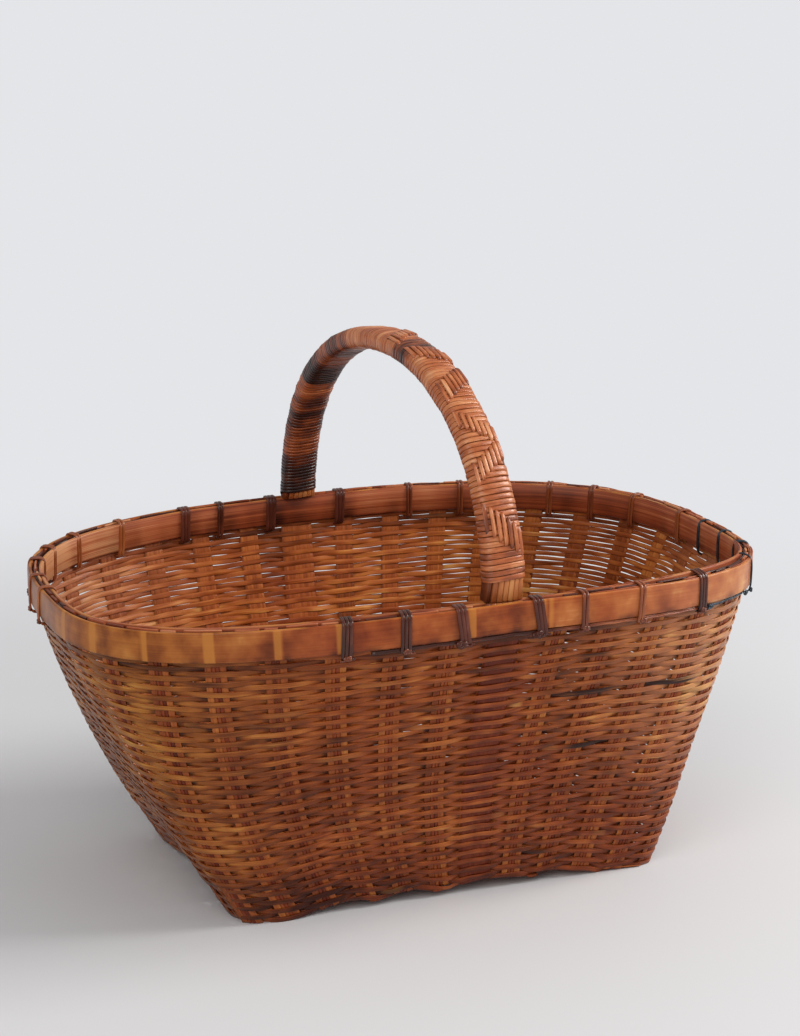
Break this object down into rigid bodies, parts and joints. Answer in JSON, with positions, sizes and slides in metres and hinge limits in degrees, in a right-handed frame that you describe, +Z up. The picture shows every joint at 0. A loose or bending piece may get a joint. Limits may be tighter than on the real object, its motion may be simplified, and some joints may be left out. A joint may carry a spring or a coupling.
{
  "type": "woven basket",
  "caption": "Oblong basket of woven bamboo with flared walls on four corner feet, a tied split-bamboo rim and one fixed cane-wrapped arch handle across the middle, for carrying shopping.",
  "frame": {"origin": "middle of the footprint at floor level, where the four corner feet stand", "axes": "+X along the long side to the right end, +Y to the back long side, +Z up"},
  "size_m": [0.4632, 0.3126, 0.3495],
  "materials": {
    "bamboo_weave": "aged, smoked brown bamboo strips in plain weave, slightly glossy",
    "bamboo_band": "smooth reddish brown split bamboo, satin",
    "bamboo_splint": "pale split bamboo, matt",
    "wrapping_cane": "polished split cane, satin",
    "brown_cane": "brown split cane, satin",
    "dark_cane": "near-black split cane, satin",
    "iron_wire": "dull blue-black annealed iron wire"
  },
  "bodies": {
    "root": {"base_mat": "bamboo_weave", "base_runner_1": "bamboo_band", "base_runner_2": "bamboo_band", "base_runner_3": "bamboo_band", "handle_lashing_back_left": "dark_cane", "handle_lashing_back_right": "dark_cane", "handle_lashing_front_left": "dark_cane", "handle_lashing_front_right": "dark_cane", "handle_splint_1": "bamboo_splint", "handle_splint_2": "bamboo_splint", "handle_splint_3": "bamboo_splint", "handle_splint_4": "bamboo_splint", "handle_splint_5": "bamboo_splint", "handle_splint_6": "bamboo_splint", "handle_splint_7": "bamboo_splint", "handle_wrap_1": "wrapping_cane", "handle_wrap_2": "wrapping_cane", "handle_wrap_3": "wrapping_cane", "inner_rim_band": "bamboo_band", "outer_rim_band": "bamboo_band", "repair_wire_1": "iron_wire", "repair_wire_2": "iron_wire", "repair_wire_3": "iron_wire", "repair_wire_4": "iron_wire", "rim_filler_left": "dark_cane", "rim_filler_right": "dark_cane", "rim_tie_1": "brown_cane", "rim_tie_10": "brown_cane", "rim_tie_11": "brown_cane", "rim_tie_12": "brown_cane", "rim_tie_13": "brown_cane", "rim_tie_14": "brown_cane", "rim_tie_15": "brown_cane", "rim_tie_16": "brown_cane", "rim_tie_17": "brown_cane", "rim_tie_18": "brown_cane", "rim_tie_2": "brown_cane", "rim_tie_3": "brown_cane", "rim_tie_4": "brown_cane", "rim_tie_5": "brown_cane", "rim_tie_6": "brown_cane", "rim_tie_7": "brown_cane", "rim_tie_8": "brown_cane", "rim_tie_9": "brown_cane", "rim_tie_wide": "dark_cane", "under_rim_strand": "brown_cane", "under_rim_wire": "iron_wire", "woven_wall": "bamboo_weave"}
  },
  "joints": []
}
